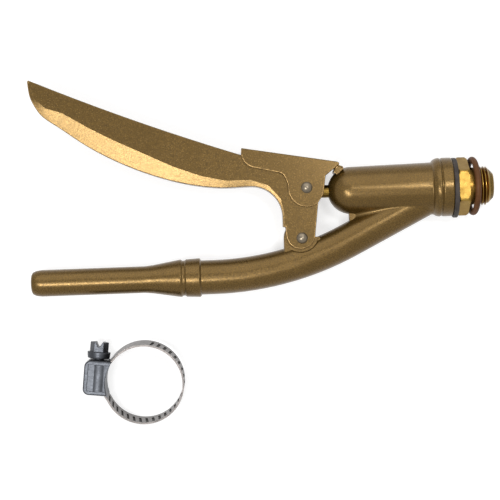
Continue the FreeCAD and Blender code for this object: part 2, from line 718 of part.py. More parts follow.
def clamp_housing():
    """Pressed box over the worm, with a wall beyond each edge of the band.

    Each wall has a sunk panel inside a raised rim, and a rounded rib that follows the worm.
    """
    width = HOUSING_RIGHT - HOUSING_LEFT
    height = HOUSING_HIGH - HOUSING_LOW
    block = Part.makeBox(width, height, 2 * HOUSING_HALF, V(HOUSING_LEFT, HOUSING_LOW, -HOUSING_HALF))
    outer_corners = []
    for edge in block.Edges:
        if abs(edge.tangentAt(0).z) > 0.9 and edge.CenterOfMass.x < HOUSING_LEFT + 1:
            outer_corners.append(edge)
    block = block.makeFillet(HOUSING_CORNER_R, outer_corners)
    rim = []
    for edge in block.Edges:
        on_side = abs(abs(edge.CenterOfMass.z) - HOUSING_HALF) < RUNNING
        if on_side and edge.CenterOfMass.x < HOUSING_RIGHT - RUNNING:
            rim.append(edge)
    block = block.makeFillet(HOUSING_EDGE_R, rim)
    panel_w = width - HOUSING_FRAME
    panel_h = height - 2 * HOUSING_FRAME
    for side in (-1, 1):
        low_z = HOUSING_HALF - PANEL_DEPTH if side > 0 else -HOUSING_HALF - PANEL_DEPTH
        corner = V(HOUSING_LEFT + HOUSING_FRAME, HOUSING_LOW + HOUSING_FRAME, low_z)
        panel = Part.makeBox(panel_w, panel_h, 2 * PANEL_DEPTH, corner)
        rib_foot = V(RIB_X, HOUSING_LOW, side * (HOUSING_HALF - RIB_R))
        rib = Part.makeCylinder(RIB_R, height, rib_foot, Y_AXIS)
        block = block.cut(panel.cut(rib))
    worm_room = rod_y(HOUSING_LOW - 1, HOUSING_HIGH - HOUSING_WALL, SCREW_R + WORM_ROOM)
    neck = rod_y(HOUSING_HIGH - 2 * HOUSING_WALL, HOUSING_HIGH + 1, SCREW_R + RUNNING)
    housing = lay_clamp(block.cut([worm_room, neck]), HOUSING_LEAN)
    band_room = rod_z(V(0, 0, 0), LIFTED_R + BAND_T + RUNNING, BAND_HALF + EDGE_GAP)
    hose_room = rod_z(V(0, 0, 0), HOSE_ROOM_R, 2 * HOUSING_HALF)
    return housing.cut(lay_clamp(band_room.fuse(hose_room), BAND_LEAN))


def clamp_saddle():
    """Curved strip under the band's tail, inside the housing."""
    strip = clamp_ring(BAND_R, LIFTED_R, BAND_HALF)
    return lay_clamp(strip.common(housing_sector(SADDLE_SPAN - 1, FAR)), BAND_LEAN)


def clamp_screw():
    """Worm screw with a flanged, slotted hexagon head."""
    flange_high = SCREW_HEAD_LOW + FLANGE_H
    head_h = SCREW_HEAD_HIGH - flange_high
    worm = rod_y(SCREW_END_Y, SCREW_HEAD_LOW, SCREW_R)
    foot = V(SCREW_X, SCREW_HEAD_LOW, 0)
    flange = Part.makeCone(FLANGE_LOW_R, FLANGE_HIGH_R, FLANGE_H, foot, Y_AXIS)
    head = hexagon_x(SCREW_HEX_AF, 0, head_h)
    head.rotate(V(0, 0, 0), Z_AXIS, 90)
    head.translate(V(SCREW_X, flange_high, 0))
    slot_corners = [
        V(SCREW_X - SLOT_TOP_W / 2, SCREW_HEAD_HIGH, 0),
        V(SCREW_X - SLOT_FLOOR_W / 2, SCREW_HEAD_HIGH - SLOT_DEPTH, 0),
        V(SCREW_X + SLOT_FLOOR_W / 2, SCREW_HEAD_HIGH - SLOT_DEPTH, 0),
        V(SCREW_X + SLOT_TOP_W / 2, SCREW_HEAD_HIGH, 0),
    ]
    slot = plate(closed_loop(slot_corners), SCREW_HEX_AF)
    return lay_clamp(worm.fuse([flange, head]).cut(slot).removeSplitter(), HOUSING_LEAN)


PIECES = {
    "body_casting": body_casting,
    "outlet_fitting": outlet_fitting,
    "collar_washer": collar_washer,
    "outlet_o_ring": outlet_o_ring,
    "valve_stem": valve_stem,
    "disc_holder": disc_holder,
    "seat_disc": seat_disc,
    "disc_washer": disc_washer,
    "lock_nut": lock_nut,
    "return_spring": return_spring,
    "packing_follower": packing_follower,
    "stem_packing": stem_packing,
    "lever": lever,
    "lever_bracket": lever_bracket,
    "pivot_rivet": lambda: rivet(PIVOT, LEVER_HALF),
    "link_rivet": lambda: rivet(LINK, BRACKET_HALF),
    "clamp_band": clamp_band,
    "clamp_housing": clamp_housing,
    "clamp_saddle": clamp_saddle,
    "clamp_screw": clamp_screw,
}


os.makedirs("parts", exist_ok=True)
for name, make in PIECES.items():
    shape = make()
    print(name, shape.ShapeType, len(shape.Solids), shape.isValid(), round(shape.Volume, 1))
    shape.exportStep("parts/" + name + ".step")
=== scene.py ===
"""Looks of a squeeze-lever hose nozzle and its worm-drive hose clamp.

Laid out as an add-on and run as a script. The frame gives every piece its place: metres,
+X out of the threaded outlet, +Y towards the lever, +Z up.
"""

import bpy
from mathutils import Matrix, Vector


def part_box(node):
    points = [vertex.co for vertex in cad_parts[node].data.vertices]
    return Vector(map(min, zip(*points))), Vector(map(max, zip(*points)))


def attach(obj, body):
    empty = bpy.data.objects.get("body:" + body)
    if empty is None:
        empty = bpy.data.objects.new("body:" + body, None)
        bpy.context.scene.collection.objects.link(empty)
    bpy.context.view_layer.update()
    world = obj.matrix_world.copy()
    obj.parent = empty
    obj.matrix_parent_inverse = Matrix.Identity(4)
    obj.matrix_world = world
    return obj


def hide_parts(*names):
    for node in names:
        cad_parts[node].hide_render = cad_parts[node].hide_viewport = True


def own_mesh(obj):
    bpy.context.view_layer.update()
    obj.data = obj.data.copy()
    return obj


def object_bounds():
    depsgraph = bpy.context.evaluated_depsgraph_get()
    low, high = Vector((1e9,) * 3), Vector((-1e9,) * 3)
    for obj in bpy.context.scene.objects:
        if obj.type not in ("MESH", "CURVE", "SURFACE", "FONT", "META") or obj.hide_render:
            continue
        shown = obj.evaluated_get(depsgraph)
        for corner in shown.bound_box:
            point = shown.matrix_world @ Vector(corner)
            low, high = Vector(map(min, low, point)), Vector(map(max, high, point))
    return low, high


bl_info = {
    "name": "Squeeze Lever Hose Nozzle",
    "version": (1, 0, 0),
    "blender": (4, 5, 0),
    "location": "3D View > Sidebar > Nozzle",
    "description": "Makes the visible pieces and finishes of a hose nozzle and its clamp",
    "category": "Add Mesh",
}

import bmesh
import bpy
import math
from mathutils import Matrix, Vector
from mathutils.bvhtree import BVHTree

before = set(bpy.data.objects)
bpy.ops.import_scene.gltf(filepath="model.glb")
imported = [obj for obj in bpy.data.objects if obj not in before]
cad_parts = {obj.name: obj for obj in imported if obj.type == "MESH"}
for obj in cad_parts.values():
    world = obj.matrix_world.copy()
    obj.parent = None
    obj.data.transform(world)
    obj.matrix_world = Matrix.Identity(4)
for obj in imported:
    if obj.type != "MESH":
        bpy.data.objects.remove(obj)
CAD_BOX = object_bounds()
MM = 0.001
X_AXIS = Vector((1, 0, 0))

HEX_BACK_X = -4.7 * MM      # the hexagon reaches from here to the outlet face at 0
END_CHAMFER_X = 7.9 * MM    # the outlet thread is turned down to a cone past this
OUTLET_BORE = 4.2 * MM

# The loose clamp lies turned, and its slack band leans.
BAND_PLACE = (Matrix.Translation(Vector((-142.6, -79.75, -4.84)) * MM)
              @ Matrix.Rotation(math.radians(7.0), 4, "X")
              @ Matrix.Rotation(math.radians(-6.5), 4, "Z"))
SLOTTED_FROM = math.radians(-157)   # round the band, from its local X axis
SLOTTED_TO = math.radians(84)

# Middle of everything on the floor, where the lamps point and the floor is centred.
MIDDLE = (-0.095, -0.024, 0)
CAMERA_PLACE = (-0.0947, -0.0241, 0.691)
CAMERA_ROLL = math.radians(-2.1)
HALF_VIEW = math.atan(0.15625)      # angle from the middle of the view to its edge


# ---------------------------------------------------------------- settings

class NozzleSizes(bpy.types.PropertyGroup):
    """Sizes of the nozzle's own details."""
    thread_pitch: bpy.props.FloatProperty(
        name="Thread Pitch", description="Distance from crest to crest of the outlet thread",
        default=1.337 * MM, unit="LENGTH")
    thread_depth: bpy.props.FloatProperty(
        name="Thread Depth", description="Depth of the outlet thread",
        default=0.75 * MM, unit="LENGTH")
    thread_radius: bpy.props.FloatProperty(
        name="Thread Radius", description="Radius over the crests of the outlet thread",
        default=8.33 * MM, unit="LENGTH")
    hex_flats: bpy.props.FloatProperty(
        name="Hexagon Across Flats", description="Size of the brass hexagon",
        default=22.0 * MM, unit="LENGTH")
    sheet_rounding: bpy.props.FloatProperty(
        name="Sheet Rounding", description="Rounding of the pressed sheets' edges",
        default=0.42 * MM, unit="LENGTH")
    cast_rounding: bpy.props.FloatProperty(
        name="Cast Rounding", description="Rounding of the casting's edges",
        default=0.3 * MM, unit="LENGTH")


class ClampSizes(bpy.types.PropertyGroup):
    """Sizes of the clamp's own details."""
    band_radius: bpy.props.FloatProperty(
        name="Band Radius", description="Inside radius of the band",
        default=16.7 * MM, unit="LENGTH")
    band_thickness: bpy.props.FloatProperty(
        name="Band Thickness", description="Thickness of the band's strip",
        default=0.7 * MM, unit="LENGTH")
    band_width: bpy.props.FloatProperty(
        name="Band Width", description="Width of the band's strip",
        default=12.0 * MM, unit="LENGTH")
    slot_depth: bpy.props.FloatProperty(
        name="Slot Depth", description="Depth of the pressed slots",
        default=0.4 * MM, unit="LENGTH")
    slots_round: bpy.props.IntProperty(
        name="Slots Round", description="Slot pitches in one full turn of the band",
        default=37, min=12)


class FinishColours(bpy.types.PropertyGroup):
    """Main colour of each finish."""
    bronze: bpy.props.FloatVectorProperty(
        name="Hammered Bronze", description="Paint of the casting, lever and bracket",
        default=(0.11, 0.064, 0.0145), subtype="COLOR", size=3, min=0, max=1)
    # Painted edge highlight: lighter bronze on the rounded sheet edges that face the key lamps.
    painted_edge_highlight: bpy.props.FloatVectorProperty(
        name="Painted Edge Highlight Bronze", description="Painted highlight on the lit side of rounded sheet edges",
        default=(0.30, 0.19, 0.075), subtype="COLOR", size=3, min=0, max=1)
    brass: bpy.props.FloatVectorProperty(
        name="Bare Brass", description="Outlet fitting and valve stem",
        default=(0.235, 0.148, 0.034), subtype="COLOR", size=3, min=0, max=1)
    rubber: bpy.props.FloatVectorProperty(
        name="Brown Rubber", description="Ring on the outlet",
        default=(0.085, 0.033, 0.009), subtype="COLOR", size=3, min=0, max=1)
    washer: bpy.props.FloatVectorProperty(
        name="Grey Washer", description="Washer between collar and hexagon",
        default=(0.042, 0.035, 0.031), subtype="COLOR", size=3, min=0, max=1)
    steel: bpy.props.FloatVectorProperty(
        name="Rivet Steel", description="Rivets",
        default=(0.18, 0.15, 0.11), subtype="COLOR", size=3, min=0, max=1)
    zinc: bpy.props.FloatVectorProperty(
        name="Zinc Plate", description="Clamp",
        default=(0.065, 0.069, 0.077), subtype="COLOR", size=3, min=0, max=1)
    band: bpy.props.FloatVectorProperty(
        name="Band Steel", description="The clamp's band",
        default=(0.11, 0.10, 0.095), subtype="COLOR", size=3, min=0, max=1)


def colours():
    """The colour settings of the scene."""
    return bpy.context.scene.nozzle_colours


# ---------------------------------------------------------------- node helpers

class Finish:
    """A material whose nodes are added and linked by short calls."""

    def __init__(self, name, **shader):
        self.material = bpy.data.materials.new(name)
        self.material.use_nodes = True
        self.nodes = self.material.node_tree.nodes
        self.links = self.material.node_tree.links
        self.shader = self.nodes["Principled BSDF"]
        for socket, value in shader.items():
            self.shader.inputs[socket.replace("_", " ")].default_value = value
        self.place = self.nodes.new("ShaderNodeTexCoord").outputs["Object"]

    def fill(self, socket, value):
        """Link a socket to another one, or give it a plain value."""
        if hasattr(value, "links"):
            self.links.new(value, socket)
        else:
            socket.default_value = value

    def add(self, kind, inputs=None, **settings):
        """Add a node with its settings and inputs."""
        node = self.nodes.new("ShaderNode" + kind)
        for key, value in settings.items():
            setattr(node, key, value)
        for socket, value in (inputs or {}).items():
            self.fill(node.inputs[socket], value)
        return node

    def feed(self, socket, value):
        """Link a value to a socket of the main shader."""
        self.links.new(value, self.shader.inputs[socket])

    def stretched(self, scale, turn=(0, 0, 0)):
        """Object coordinates, scaled and turned."""
        mapping = self.add("Mapping", {"Vector": self.place, "Scale": scale, "Rotation": turn})
        return mapping.outputs["Vector"]

    def noise(self, scale, detail=3, roughness=0.5, vector=None):
        """Soft noise from 0 to 1."""
        node = self.add("TexNoise", {"Vector": vector or self.place, "Scale": scale,
                                     "Detail": detail, "Roughness": roughness})
        return node.outputs["Fac"]

    def pebbles(self, scale):
        """Distance from the middle of rounded cells."""
        node = self.add("TexVoronoi", {"Vector": self.place, "Scale": scale,
                                       "Smoothness": 1.0}, feature="SMOOTH_F1")
        return node.outputs["Distance"]

    def fade(self, value, low, high, to_low=0.0, to_high=1.0):
        """Map the range from low to high onto another one."""
        node = self.add("MapRange", {"Value": value, "From Min": low, "From Max": high,
                                     "To Min": to_low, "To Max": to_high})
        return node.outputs["Result"]

    def combine(self, a, b, operation="ADD"):
        """Add two values, or join them by another operation."""
        return self.add("Math", {0: a, 1: b}, operation=operation).outputs["Value"]

    def mix(self, amount, a, b):
        """Blend from colour a to colour b."""
        node = self.add("Mix", {"Factor": amount}, data_type="RGBA")
        for socket, colour in ((node.inputs[6], a), (node.inputs[7], b)):
            self.fill(socket, (*colour, 1) if isinstance(colour, tuple) else colour)
        return node.outputs[2]

    def bump(self, height, distance, strength):
        """Normals of a skin as deep as the distance."""
        inputs = {"Height": height, "Distance": distance, "Strength": strength}
        return self.add("Bump", inputs).outputs["Normal"]


def shade(colour, factor):
    """A colour made darker or lighter."""
    return tuple(min(1.0, c * factor) for c in colour)


def hammered_bronze(name, rough, pebble_depth):
    """Metallic paint with a fine, pebbled skin."""
    colour = tuple(colours().bronze)
    f = Finish(name, Metallic=0.62, IOR=1.5, Specular_IOR_Level=0.45)
    grain = f.noise(2400, 2, 0.5)
    cloud = f.noise(90, 3)
    tone = f.mix(f.fade(grain, 0.36, 0.64), shade(colour, 0.66), shade(colour, 1.36))
    darker = (colour[0] * 0.84, colour[1] * 0.82, colour[2] * 0.66)
    f.feed("Base Color", f.mix(f.fade(cloud, 0.35, 0.7, 0.0, 0.5), tone, darker))
    f.feed("Roughness", f.fade(f.noise(1700, 2), 0.3, 0.7, *rough))
    f.feed("Normal", f.bump(f.pebbles(1900), 0.03 * MM, pebble_depth))
    return f.material


def painted_edge_highlight_bronze():
    """Lighter bronze for the lit side of rounded edges: a painted edge highlight."""
    colour = tuple(colours().painted_edge_highlight)
    f = Finish("Painted Edge Highlight Bronze", Metallic=0.85, IOR=1.5)
    grain = f.noise(900, 3, 0.6)
    tone = f.mix(f.fade(grain, 0.35, 0.65), shade(colour, 0.6), shade(colour, 1.2))
    f.feed("Base Color", tone)
    f.feed("Roughness", f.fade(grain, 0.3, 0.7, 0.22, 0.36))
    f.feed("Normal", f.bump(grain, 0.03 * MM, 0.4))
    return f.material


def bare_brass(name, colour, painted_groove_shade=False):
    """Turned brass, with painted shade in the outlet thread's grooves if asked."""
    sizes = bpy.context.scene.nozzle_sizes
    f = Finish(name, Metallic=1.0)
    rings = f.noise(1500, 2, 0.6, f.stretched((3.0, 0.12, 0.12)))
    cloud = f.noise(260, 4, 0.6)
    tarnished = (colour[0] * 0.74, colour[1] * 0.68, colour[2] * 0.6)
    tone = f.mix(f.fade(cloud, 0.35, 0.7), colour, tarnished)
    if painted_groove_shade:
        # Painted shade: dark brown down in the thread's grooves, by distance from the axis,
        # lifted past the end chamfer.
        off_axis = f.add("VectorMath", {0: f.stretched((0.0, 1.0, 1.0))}, operation="LENGTH")
        along = f.add("SeparateXYZ", {0: f.place}).outputs["X"]
        past_chamfer = f.combine(f.combine(along, -END_CHAMFER_X), 0.0, "MAXIMUM")
        height = f.combine(off_axis.outputs["Value"], past_chamfer)
        root = sizes.thread_radius - sizes.thread_depth
        groove_shade = f.fade(height, root, sizes.thread_radius - 0.1 * MM, 0.9, 0.0)
        tone = f.mix(groove_shade, tone, (0.16, 0.06, 0.008))
    f.feed("Base Color", tone)
    f.feed("Roughness", f.fade(cloud, 0.3, 0.7, 0.26, 0.38))
    f.feed("Normal", f.bump(rings, 0.03 * MM, 0.6))
    return f.material


def plain_rubber(name, colour, scale=1200.0):
    """Matte rubber or plastic with a fine grain."""
    f = Finish(name, IOR=1.5, Specular_IOR_Level=0.2)
    grain = f.noise(scale, 4, 0.6)
    cloud = f.noise(scale / 6, 3)
    f.feed("Base Color", f.mix(f.fade(cloud, 0.3, 0.7), shade(colour, 0.7), shade(colour, 1.35)))
    f.feed("Roughness", f.fade(grain, 0.3, 0.7, 0.45, 0.7))
    f.feed("Normal", f.bump(grain, 0.04 * MM, 0.6))
    return f.material


def bright_steel(name, colour, rough):
    """Steel with fine scratches that run one way."""
    f = Finish(name, Metallic=1.0)
    scratches = f.noise(1800, 3, 0.6, f.stretched((0.25, 2.2, 1.0), turn=(0, 0, 0.5)))
    cloud = f.noise(300, 3)
    f.feed("Base Color", f.mix(f.fade(cloud, 0.3, 0.7), shade(colour, 0.8), shade(colour, 1.15)))
    f.feed("Roughness", f.fade(scratches, 0.3, 0.7, *rough))
    f.feed("Normal", f.bump(scratches, 0.02 * MM, 0.5))
    return f.material


def painted_slot_shade():
    """Near-black floor of the band's slots: painted shade in the recesses."""
    f = Finish("Painted Slot Shade", Specular_IOR_Level=0.12)
    cloud = f.noise(900, 3)
    tone = f.mix(f.fade(cloud, 0.3, 0.7), (0.008, 0.007, 0.006), (0.028, 0.024, 0.02))
    f.feed("Base Color", tone)
    f.feed("Roughness", f.fade(cloud, 0.3, 0.7, 0.5, 0.7))
    f.feed("Normal", f.bump(cloud, 0.03 * MM, 0.5))
    return f.material


FINISHES = {}


def make_finishes():
    """Make every finish and keep it by its short name."""
    c = colours()
    FINISHES["bronze"] = hammered_bronze("Hammered Bronze", (0.23, 0.34), 0.5)
    FINISHES["sheet"] = hammered_bronze("Hammered Bronze Sheet", (0.20, 0.29), 0.05)
    FINISHES["painted_edge_highlight"] = painted_edge_highlight_bronze()
    FINISHES["brass"] = bare_brass("Bare Brass", tuple(c.brass), painted_groove_shade=True)
    FINISHES["stem"] = bare_brass("Stem Brass", shade(tuple(c.brass), 0.7))
    FINISHES["rubber"] = plain_rubber("Brown Rubber", tuple(c.rubber))
    FINISHES["black"] = plain_rubber("Black Rubber", (0.03, 0.03, 0.03))
    FINISHES["washer"] = plain_rubber("Grey Washer", tuple(c.washer), 1800.0)
    FINISHES["steel"] = bright_steel("Rivet Steel", tuple(c.steel), (0.26, 0.4))
    FINISHES["zinc"] = bright_steel("Zinc Plate", tuple(c.zinc), (0.34, 0.5))
    FINISHES["band"] = bright_steel("Band Steel", tuple(c.band), (0.3, 0.45))
    FINISHES["slot"] = painted_slot_shade()


# ---------------------------------------------------------------- mesh helpers

def finish_piece(name, bm, finishes, body, stands_for=(), smooth_below=35, fold=None):
    """Make a bmesh into a finished piece that rides on a body.

    Edges sharper than smooth_below degrees stay crisp. Between two faces of the first
    finish, a fold sharper than the fold angle stays crisp too.
    """
    for face in bm.faces:
        face.smooth = True
    for edge in bm.edges:
        most = smooth_below
        if fold is not None and all(f.material_index == 0 for f in edge.link_faces):
            most = fold
        edge.smooth = edge.calc_face_angle(0.0) <= math.radians(most)
    mesh = bpy.data.meshes.new(name)
    bm.to_mesh(mesh)
    bm.free()
    piece = bpy.data.objects.new(name, mesh)
    bpy.context.scene.collection.objects.link(piece)
    for finish in finishes:
        mesh.materials.append(FINISHES[finish])
    even = piece.modifiers.new("Even Shading", "WEIGHTED_NORMAL")
    even.mode = "FACE_AREA"
    even.keep_sharp = True
    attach(piece, body)
    if stands_for:
        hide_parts(*stands_for)
    return piece


def close_up(bm, distance=1e-6):
    """Merge what touches, drop slivers and turn the faces outwards."""
    bmesh.ops.remove_doubles(bm, verts=bm.verts, dist=distance)
    bmesh.ops.dissolve_degenerate(bm, dist=distance / 4, edges=bm.edges)
    bmesh.ops.recalc_face_normals(bm, faces=bm.faces)


def node_copy(node):
    """Merged copy of a CAD node, with its flat triangles joined into whole faces."""
    bm = bmesh.new()
    bm.from_mesh(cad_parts[node].data)
    close_up(bm)
    bmesh.ops.dissolve_limit(bm, angle_limit=math.radians(0.4), verts=bm.verts, edges=bm.edges)
    return bm


def round_edges(bm, radius, sharper_than=28, painted_edge_highlight=0):
    """Round the edges that are sharper than an angle in degrees.

    Where the rounding of a thin corner runs out past the piece, it is laid back on it. If
    the last argument is the number of a finish, the rounded faces not turned towards +Y are
    given it: a painted highlight on the edges that face the key lamps.
    """
    skin = BVHTree.FromBMesh(bm)
    deepest = 0.45 * radius         # a rounded corner sinks no further than this
    sharp = [edge for edge in bm.edges if len(edge.link_faces) == 2
             and edge.calc_face_angle() > math.radians(sharper_than)]
    made = bmesh.ops.bevel(bm, geom=sharp, offset=radius, offset_type="OFFSET", segments=3,
                           profile=0.5, affect="EDGES", clamp_overlap=False, material=-1)
    for vert in bm.verts:
        nearest, normal, _, distance = skin.find_nearest(vert.co)
        outside = (vert.co - nearest).dot(normal) > 0
        if distance > deepest or (outside and distance > 0.01 * MM):
            vert.co = nearest
    # Painted highlight on the lit side of the rounding, chosen by which way each face points.
    if painted_edge_highlight:
        bm.normal_update()
        for face in made["faces"]:
            if face.normal.y < 0.2:
                face.material_index = painted_edge_highlight


def lathe(bm, profile, steps):
    """Turn an open line of (x, radius) points about X."""
    verts = [bm.verts.new((x, 0, r)) for x, r in profile]
    edges = [bm.edges.new(pair) for pair in zip(verts, verts[1:])]
    bmesh.ops.spin(bm, geom=verts + edges, cent=(0, 0, 0), axis=X_AXIS, angle=2 * math.pi,
                   steps=steps, use_merge=True)


def limit_radius(verts, limit):
    """Draw vertices in towards the X axis, down to limit(x, angle)."""
    for vert in verts:
        radius = math.hypot(vert.co.y, vert.co.z)
        most = limit(vert.co.x, math.atan2(vert.co.z, vert.co.y))
        if radius > most:
            vert.co.y *= most / radius
            vert.co.z *= most / radius


def join_parts(bm, parts):
    """Add other bmeshes to one and free them."""
    for part in parts:
        mesh = bpy.data.meshes.new("part")
        part.to_mesh(mesh)
        part.free()
        bm.from_mesh(mesh)
        bpy.data.meshes.remove(mesh)


# ---------------------------------------------------------------- outlet fitting

def hexagon(flats, neck):
    """Shell of the hexagon, with a long chamfer in front and a short one behind."""
    corner = flats / 2 / math.cos(math.radians(30))

    def limit(x, angle):
        side = math.radians(60)
        off_flat = (angle - math.radians(90)) % side
        off_flat = min(off_flat, side - off_flat)
        front = corner - (x + 1.1 * MM) * math.tan(math.radians(35))
        back = corner - 0.7 * MM + (x - HEX_BACK_X) * 0.9
        return min(flats / 2 / math.cos(off_flat), corner - 0.1 * MM, min(front, back))

    bm = bmesh.new()
    stations = 20
    rim = [(HEX_BACK_X * (1 - i / stations), corner) for i in range(stations + 1)]
    lathe(bm, [(HEX_BACK_X, OUTLET_BORE)] + rim + [(0, neck)], 180)
    outer = [v for v in bm.verts if math.hypot(v.co.y, v.co.z) > neck + 1.3 * MM]
    limit_radius(outer, limit)
    close_up(bm)
    return bm


def shank(low_x, high_x, crest, root, neck):
    """Turned body through the hexagon: valve seat, neck and the core of the thread."""
    bm = bmesh.new()
    lathe(bm, [
        (low_x, OUTLET_BORE),
        (low_x, 5.3 * MM),
        (low_x + 1.5 * MM, 5.7 * MM),
        (low_x + 1.5 * MM, crest - 0.8 * MM),
        (low_x + 2.3 * MM, crest),
        (HEX_BACK_X + 0.2 * MM, crest),
        (HEX_BACK_X + 0.2 * MM, neck),
        (4.5 * MM, neck),
        (4.9 * MM, root),
        (high_x - (crest - root) * 0.2, root),
        (high_x, root),
        (high_x, OUTLET_BORE + 0.6 * MM),
        (high_x - 0.6 * MM, OUTLET_BORE),
        (low_x, OUTLET_BORE),
    ], 144)
    return bm


def thread_ridge(high_x, pitch, crest, root):
    """Ridge of the thread, swept along its helix."""
    bm = bmesh.new()
    start = 4.45 * MM
    turns = (high_x - 0.5 * pitch - start) / pitch
    steps = 96
    base = root - 0.12 * MM
    section = [(-0.48, base), (-0.09, crest), (0.09, crest), (0.48, base)]
    verts = [bm.verts.new((start + x * pitch, 0, r)) for x, r in section]
    edges = [bm.edges.new(pair) for pair in zip(verts, verts[1:] + verts[:1])]
    bmesh.ops.spin(bm, geom=verts + edges, cent=(0, 0, 0), axis=X_AXIS,
                   dvec=(pitch / steps, 0, 0), angle=2 * math.pi * turns,
                   steps=round(steps * turns), use_merge=False)
    bmesh.ops.holes_fill(bm, edges=[e for e in bm.edges if e.is_boundary], sides=4)
    close_up(bm)
    return bm


# ---------------------------------------------------------------- stage helpers

def any_ray(tree, *kinds):
    """Output that is 1 for rays of any of the kinds."""
    path = tree.nodes.new("ShaderNodeLightPath")
    shown = path.outputs[kinds[0]]
    for kind in kinds[1:]:
        either = tree.nodes.new("ShaderNodeMath")
        either.operation = "MAXIMUM"
        tree.links.new(shown, either.inputs[0])
        tree.links.new(path.outputs[kind], either.inputs[1])
        shown = either.outputs[0]
    return shown


def paper():
    """Pale floor that keeps the shadow but shows as white."""
    material = bpy.data.materials.new("Paper")
    material.use_nodes = True
    tree = material.node_tree
    tree.nodes.clear()
    out = tree.nodes.new("ShaderNodeOutputMaterial")
    matte = tree.nodes.new("ShaderNodeBsdfDiffuse")
    matte.inputs["Color"].default_value = (0.55, 0.55, 0.55, 1)
    glow = tree.nodes.new("ShaderNodeEmission")
    glow.inputs["Color"].default_value = (1, 1, 1, 1)
    level = tree.nodes.new("ShaderNodeMath")
    level.operation = "MULTIPLY"
    level.inputs[1].default_value = 0.6
    tree.links.new(any_ray(tree, "Is Camera Ray", "Is Glossy Ray"), level.inputs[0])
    tree.links.new(level.outputs[0], glow.inputs["Strength"])
    both = tree.nodes.new("ShaderNodeAddShader")
    tree.links.new(matte.outputs[0], both.inputs[0])
    tree.links.new(glow.outputs[0], both.inputs[1])
    tree.links.new(both.outputs[0], out.inputs["Surface"])
    return material


def white_sky():
    """World that shows white and lights the object softly."""
    world = bpy.data.worlds.new("Studio")
    world.use_nodes = True
    tree = world.node_tree
    back = tree.nodes["Background"]
    back.inputs["Color"].default_value = (1, 1, 1, 1)
    level = tree.nodes.new("ShaderNodeMapRange")
    level.inputs["To Min"].default_value = 0.28
    level.inputs["To Max"].default_value = 1.0
    shown = any_ray(tree, "Is Camera Ray", "Is Glossy Ray", "Is Transmission Ray")
    tree.links.new(shown, level.inputs["Value"])
    tree.links.new(level.outputs["Result"], back.inputs["Strength"])
    return world


def lamp(name, place, aim, size, power, turn=0.0):
    """Add a rectangular lamp with one side along X, turned about its beam in degrees."""
    data = bpy.data.lights.new(name, "AREA")
    data.shape = "RECTANGLE"
    data.size, data.size_y = size
    data.energy = power
    light = bpy.data.objects.new(name, data)
    bpy.context.scene.collection.objects.link(light)
    back = (Vector(place) - Vector(aim)).normalized()
    side = Vector((0, 1, 0)).cross(back).normalized()
    axes = Matrix((side, back.cross(side), back)).transposed().to_4x4()
    light.matrix_world = (Matrix.Translation(place) @ axes
                          @ Matrix.Rotation(math.radians(turn), 4, "Z"))


# ---------------------------------------------------------------- operators

NODE_FINISH = {
    "body_casting": "bronze", "lever": "bronze", "lever_bracket": "bronze",
    "outlet_fitting": "brass", "valve_stem": "stem", "disc_holder": "stem",
    "packing_follower": "stem", "collar_washer": "washer", "outlet_o_ring": "rubber",
    "seat_disc": "black", "stem_packing": "black", "disc_washer": "steel",
    "lock_nut": "steel", "return_spring": "steel", "pivot_rivet": "steel",
    "link_rivet": "steel", "clamp_band": "zinc", "clamp_housing": "zinc",
    "clamp_saddle": "zinc", "clamp_screw": "zinc",
}


class NOZZLE_OT_finishes(bpy.types.Operator):
    """Make the finishes and put them on the CAD pieces"""
    bl_idname = "nozzle.finishes"
    bl_label = "Finishes"

    def execute(self, context):
        make_finishes()
        for node, finish in NODE_FINISH.items():
            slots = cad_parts[node].material_slots
            if not slots:
                raise RuntimeError(node + " has no material slot")
            for material_slot in slots:
                material_slot.material = FINISHES[finish]
        return {"FINISHED"}


class NOZZLE_OT_bronze(bpy.types.Operator):
    """Round the edges of the casting, the lever and its bracket"""
    bl_idname = "nozzle.bronze"
    bl_label = "Bronze Pieces"

    def execute(self, context):
        sizes = context.scene.nozzle_sizes
        for node, body, rounding, finishes, fold in (
                ("body_casting", "nozzle", sizes.cast_rounding, ["bronze"], None),
                # The lever and bracket get a painted edge highlight as their second finish.
                ("lever", "lever", sizes.sheet_rounding, ["sheet", "painted_edge_highlight"], 7),
                ("lever_bracket", "lever", sizes.sheet_rounding, ["sheet", "painted_edge_highlight"], None)):
            bm = node_copy(node)
            round_edges(bm, rounding, painted_edge_highlight=len(finishes) - 1)
            close_up(bm)
            finish_piece(node + "_finished", bm, finishes, body, [node],
                         fold=fold)
        return {"FINISHED"}


class NOZZLE_OT_outlet(bpy.types.Operator):
    """Turn the brass outlet fitting, with its chamfered hexagon and its thread"""
    bl_idname = "nozzle.outlet"
    bl_label = "Outlet Fitting"

    def execute(self, context):
        sizes = context.scene.nozzle_sizes
        low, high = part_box("outlet_fitting")
        crest = sizes.thread_radius
        root = crest - sizes.thread_depth
        neck = crest - 0.3 * MM

        def end_chamfer(x, angle):
            return crest - max(0.0, x - END_CHAMFER_X)

        body = hexagon(sizes.hex_flats, neck)
        core = shank(low[0], high[0], crest, root, neck)
        ridge = thread_ridge(high[0], sizes.thread_pitch, crest, root)
        for part in (core, ridge):
            limit_radius(part.verts, end_chamfer)
        close_up(core)
        join_parts(body, (core, ridge))
        finish_piece("outlet_fitting_finished", body, ["brass"], "nozzle",
                     ["outlet_fitting"], 26)
        return {"FINISHED"}


